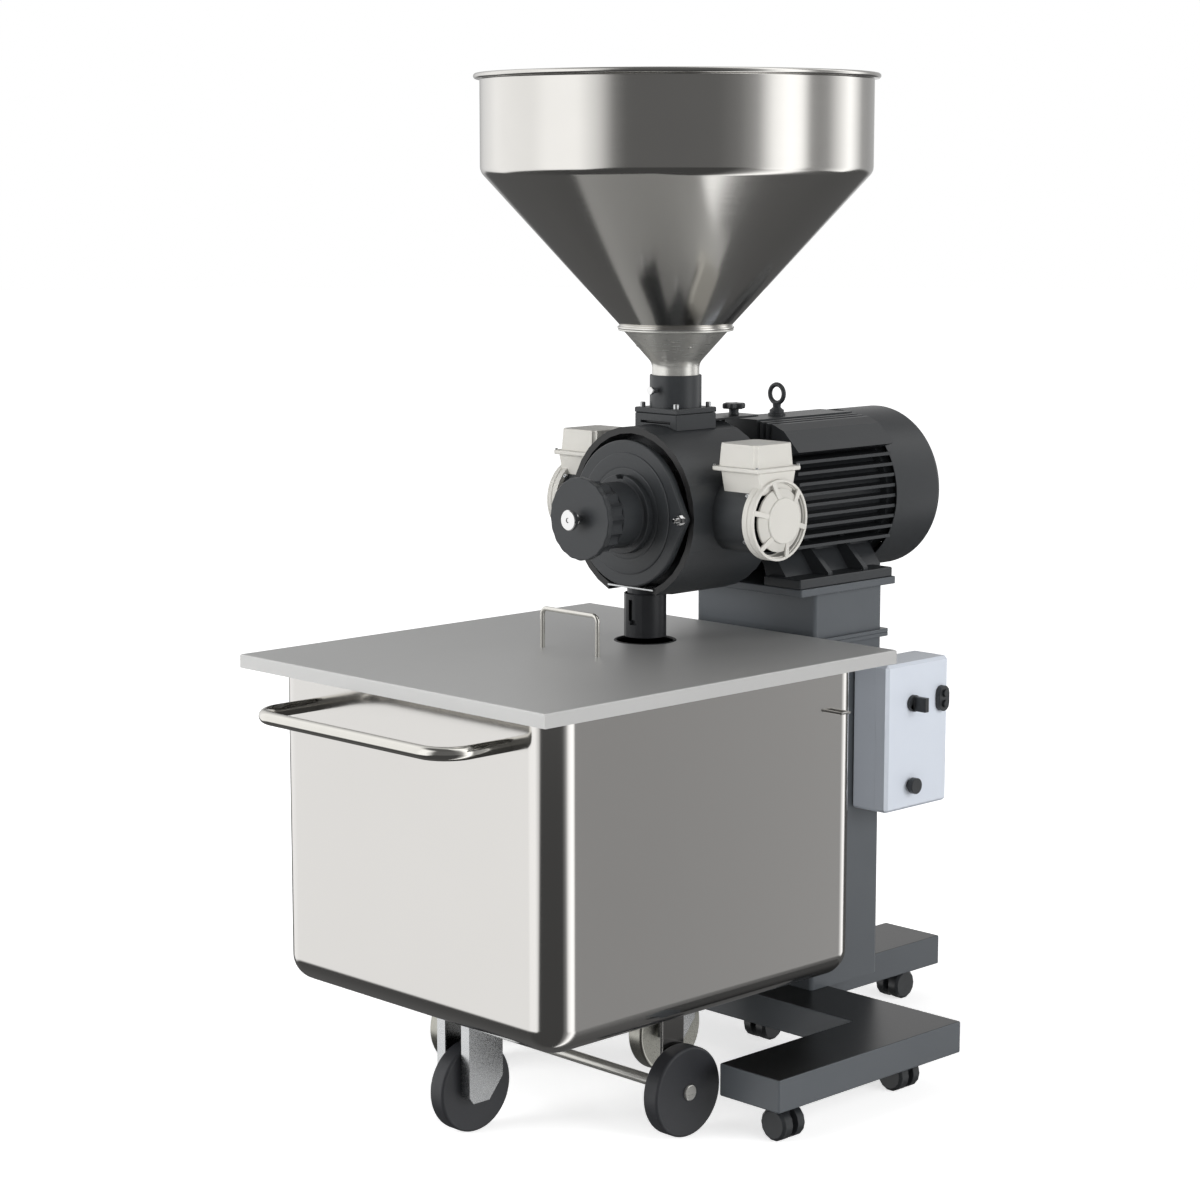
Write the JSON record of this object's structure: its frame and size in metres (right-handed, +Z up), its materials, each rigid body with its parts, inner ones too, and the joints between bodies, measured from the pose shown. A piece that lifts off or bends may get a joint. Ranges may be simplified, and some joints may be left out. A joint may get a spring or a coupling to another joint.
{
  "type": "grinding mill",
  "caption": "Disc grinding mill with a round stainless hopper, finned motor, side cooling fans, a wheeled T-shaped stand with control box, and a lidded stainless collecting bin on wheels.",
  "frame": {"origin": "centre of the bounding box in plan, at floor level", "axes": "+Z up; -Y is the front, the side of the push handle and the adjusting knob; +X is the side of the control box"},
  "size_m": [0.79, 1.2608, 1.545],
  "materials": {
    "black_paint": "satin black powder coat",
    "dark_paint": "glossy grey-black powder coat",
    "black_steel": "gloss black paint",
    "stainless": "fine-brushed stainless sheet",
    "zinc": "bright zinc plating",
    "chrome": "polished chrome",
    "cast_steel": "bare machined casting",
    "warm_grey_plastic": "moulded warm grey",
    "pale_grey_plastic": "pale blue-grey textured",
    "black_plastic": "moulded black",
    "wheel_black": "black nylon",
    "wheel_steel": "bright machined disc"
  },
  "bodies": {
    "stand": {"base_frame": "dark_paint", "column": "dark_paint", "head_column": "dark_paint", "grinder_housing": "black_paint", "front_cover": "black_paint", "fixed_burr": "cast_steel", "gate_body": "black_paint", "inlet_throat": "black_paint", "fan_housing_right": "warm_grey_plastic", "fan_housing_left": "warm_grey_plastic", "fan_grille_right": "warm_grey_plastic", "fan_grille_left": "warm_grey_plastic", "outlet_tube": "black_steel", "outlet_bracket": "zinc", "motor_frame": "black_paint", "motor_fan_cowl": "black_paint", "eyebolt": "black_paint", "terminal_box": "black_paint", "control_box": "pale_grey_plastic"},
    "mill_rotor": {"main_shaft": "cast_steel", "rotating_burr": "cast_steel", "motor_fan": "black_plastic"},
    "adjusting_knob": {"adjusting_knob": "black_paint"},
    "lock_knob": {"lock_knob": "chrome"},
    "gate": {"gate_plate": "black_steel"},
    "star_knob": {"star_knob": "black_plastic"},
    "throat_screw": {"throat_screw": "zinc"},
    "hopper": {"hopper_bowl": "stainless", "hopper_funnel": "stainless"},
    "fan_rotor_right": {"fan_rotor_right": "black_plastic"},
    "fan_rotor_left": {"fan_rotor_left": "black_plastic"},
    "outlet_sleeve": {"outlet_sleeve": "black_steel"},
    "control_door": {"control_door": "pale_grey_plastic", "button_bezel": "black_plastic"},
    "rotary_switch": {"rotary_switch": "black_plastic"},
    "start_button": {"start_button": "black_plastic"},
    "stop_button": {"stop_button": "black_plastic"},
    "reset_button": {"reset_button": "black_plastic"},
    "bin": {"bin_tub": "stainless", "push_handle": "stainless", "bin_axle": "stainless"},
    "bin_lid": {"bin_lid": "stainless"},
    "bin_wheel_right": {"bin_wheel_right": "wheel_black"},
    "bin_wheel_left": {"bin_wheel_left": "wheel_steel"},
    "bin_caster_front": {"bin_caster_fork_front": "zinc"},
    "bin_caster_rear": {"bin_caster_fork_rear": "zinc"},
    "bin_caster_wheel_front": {"bin_caster_wheel_front": "wheel_black"},
    "bin_caster_wheel_rear": {"bin_caster_wheel_rear": "wheel_steel"},
    "stand_caster_right_front": {"stand_caster_strap_right_front": "black_plastic"},
    "stand_caster_wheels_right_front": {"stand_caster_wheels_right_front": "wheel_black"},
    "stand_caster_right_rear": {"stand_caster_strap_right_rear": "black_plastic"},
    "stand_caster_wheels_right_rear": {"stand_caster_wheels_right_rear": "wheel_black"},
    "stand_caster_left_front": {"stand_caster_strap_left_front": "black_plastic"},
    "stand_caster_wheels_left_front": {"stand_caster_wheels_left_front": "wheel_black"},
    "stand_caster_left_rear": {"stand_caster_strap_left_rear": "black_plastic"},
    "stand_caster_wheels_left_rear": {"stand_caster_wheels_left_rear": "wheel_black"},
    "stand_caster_middle": {"stand_caster_strap_middle": "black_plastic"},
    "stand_caster_wheels_middle": {"stand_caster_wheels_middle": "wheel_black"},
    "stand_caster_tail": {"stand_caster_strap_tail": "black_plastic"},
    "stand_caster_wheels_tail": {"stand_caster_wheels_tail": "wheel_black"}
  },
  "joints": [
    {"name": "rotor_spin", "type": "hinge", "parent": "stand", "child": "mill_rotor", "pos_m": [0, -0.0266, 0.8885], "axis": [0, 1, 0], "continuous": true},
    {"name": "adjusting_knob_turn", "type": "hinge", "parent": "stand", "child": "adjusting_knob", "pos_m": [0, -0.1466, 0.8885], "axis": [0, 1, 0], "range_deg": [-180, 180]},
    {"name": "lock_knob_turn", "type": "hinge", "parent": "adjusting_knob", "child": "lock_knob", "pos_m": [0, -0.1766, 0.8885], "axis": [0, 1, 0], "range_deg": [-180, 180]},
    {"name": "gate_slide", "type": "slide", "parent": "stand", "child": "gate", "axis": [0, -1, 0], "range_m": [0, 0.06]},
    {"name": "star_knob_turn", "type": "hinge", "parent": "gate", "child": "star_knob", "pos_m": [0, 0.1694, 1.03], "axis": [0, 0, 1], "range_deg": [-180, 180]},
    {"name": "throat_screw_turn", "type": "hinge", "parent": "stand", "child": "throat_screw", "pos_m": [0, -0.0066, 1.0715], "axis": [0, 1, 0], "range_deg": [-180, 180]},
    {"name": "hopper_lift", "type": "slide", "parent": "stand", "child": "hopper", "axis": [0, 0, 1], "range_m": [0, 0.15]},
    {"name": "fan_spin_right", "type": "hinge", "parent": "stand", "child": "fan_rotor_right", "pos_m": [0.19, 0.0354, 0.8885], "axis": [1, 0, 0], "continuous": true},
    {"name": "fan_spin_left", "type": "hinge", "parent": "stand", "child": "fan_rotor_left", "pos_m": [-0.19, 0.0354, 0.8885], "axis": [1, 0, 0], "continuous": true},
    {"name": "sleeve_drop", "type": "slide", "parent": "stand", "child": "outlet_sleeve", "axis": [0, 0, 1], "range_m": [-0.03, 0]},
    {"name": "control_door_swing", "type": "hinge", "parent": "stand", "child": "control_door", "pos_m": [0.176, 0.4712, 0.51], "axis": [0, 0, 1], "range_deg": [0, 110]},
    {"name": "rotary_switch_turn", "type": "hinge", "parent": "control_door", "child": "rotary_switch", "pos_m": [0.2, 0.3744, 0.566], "axis": [1, 0, 0], "range_deg": [0, 90]},
    {"name": "start_button_press", "type": "slide", "parent": "control_door", "child": "start_button", "axis": [-1, 0, 0], "range_m": [0, 0.003], "stiffness_N_per_m": 300},
    {"name": "stop_button_press", "type": "slide", "parent": "control_door", "child": "stop_button", "axis": [-1, 0, 0], "range_m": [0, 0.003], "stiffness_N_per_m": 300},
    {"name": "reset_button_press", "type": "slide", "parent": "control_door", "child": "reset_button", "axis": [-1, 0, 0], "range_m": [0, 0.003], "stiffness_N_per_m": 300},
    {"name": "bin_roll", "type": "slide", "parent": "stand", "child": "bin", "axis": [0, -1, 0], "range_m": [0, 0.9]},
    {"name": "lid_lift", "type": "slide", "parent": "bin", "child": "bin_lid", "axis": [0, 0, 1], "range_m": [0, 0.05]},
    {"name": "bin_wheel_roll_right", "type": "hinge", "parent": "bin", "child": "bin_wheel_right", "pos_m": [0.2355, -0.1866, 0.0675], "axis": [1, 0, 0], "continuous": true},
    {"name": "bin_wheel_roll_left", "type": "hinge", "parent": "bin", "child": "bin_wheel_left", "pos_m": [-0.2355, -0.1866, 0.0675], "axis": [1, 0, 0], "continuous": true},
    {"name": "bin_caster_swivel_front", "type": "hinge", "parent": "bin", "child": "bin_caster_front", "pos_m": [0, -0.3916, 0.15], "axis": [0, 0, 1], "continuous": true},
    {"name": "bin_caster_roll_front", "type": "hinge", "parent": "bin_caster_front", "child": "bin_caster_wheel_front", "pos_m": [0, -0.3916, 0.0675], "axis": [1, 0, 0], "continuous": true},
    {"name": "bin_caster_swivel_rear", "type": "hinge", "parent": "bin", "child": "bin_caster_rear", "pos_m": [0, 0.0184, 0.15], "axis": [0, 0, 1], "continuous": true},
    {"name": "bin_caster_roll_rear", "type": "hinge", "parent": "bin_caster_rear", "child": "bin_caster_wheel_rear", "pos_m": [0, 0.0184, 0.0675], "axis": [1, 0, 0], "continuous": true},
    {"name": "stand_caster_swivel_right_front", "type": "hinge", "parent": "stand", "child": "stand_caster_right_front", "pos_m": [0.336, -0.0916, 0.055], "axis": [0, 0, 1], "continuous": true},
    {"name": "stand_caster_roll_right_front", "type": "hinge", "parent": "stand_caster_right_front", "child": "stand_caster_wheels_right_front", "pos_m": [0.35, -0.0916, 0.025], "axis": [0, 1, 0], "continuous": true},
    {"name": "stand_caster_swivel_right_rear", "type": "hinge", "parent": "stand", "child": "stand_caster_right_rear", "pos_m": [0.336, 0.2064, 0.055], "axis": [0, 0, 1], "continuous": true},
    {"name": "stand_caster_roll_right_rear", "type": "hinge", "parent": "stand_caster_right_rear", "child": "stand_caster_wheels_right_rear", "pos_m": [0.322, 0.2064, 0.025], "axis": [0, 1, 0], "continuous": true},
    {"name": "stand_caster_swivel_left_front", "type": "hinge", "parent": "stand", "child": "stand_caster_left_front", "pos_m": [-0.336, -0.0916, 0.055], "axis": [0, 0, 1], "continuous": true},
    {"name": "stand_caster_roll_left_front", "type": "hinge", "parent": "stand_caster_left_front", "child": "stand_caster_wheels_left_front", "pos_m": [-0.322, -0.0916, 0.025], "axis": [0, 1, 0], "continuous": true},
    {"name": "stand_caster_swivel_left_rear", "type": "hinge", "parent": "stand", "child": "stand_caster_left_rear", "pos_m": [-0.336, 0.2064, 0.055], "axis": [0, 0, 1], "continuous": true},
    {"name": "stand_caster_roll_left_rear", "type": "hinge", "parent": "stand_caster_left_rear", "child": "stand_caster_wheels_left_rear", "pos_m": [-0.35, 0.2064, 0.025], "axis": [0, 1, 0], "continuous": true},
    {"name": "stand_caster_swivel_middle", "type": "hinge", "parent": "stand", "child": "stand_caster_middle", "pos_m": [0, 0.2364, 0.055], "axis": [0, 0, 1], "continuous": true},
    {"name": "stand_caster_roll_middle", "type": "hinge", "parent": "stand_caster_middle", "child": "stand_caster_wheels_middle", "pos_m": [0, 0.2504, 0.025], "axis": [1, 0, 0], "continuous": true},
    {"name": "stand_caster_swivel_tail", "type": "hinge", "parent": "stand", "child": "stand_caster_tail", "pos_m": [0, 0.5714, 0.055], "axis": [0, 0, 1], "continuous": true},
    {"name": "stand_caster_roll_tail", "type": "hinge", "parent": "stand_caster_tail", "child": "stand_caster_wheels_tail", "pos_m": [0, 0.5854, 0.025], "axis": [1, 0, 0], "continuous": true}
  ]
}
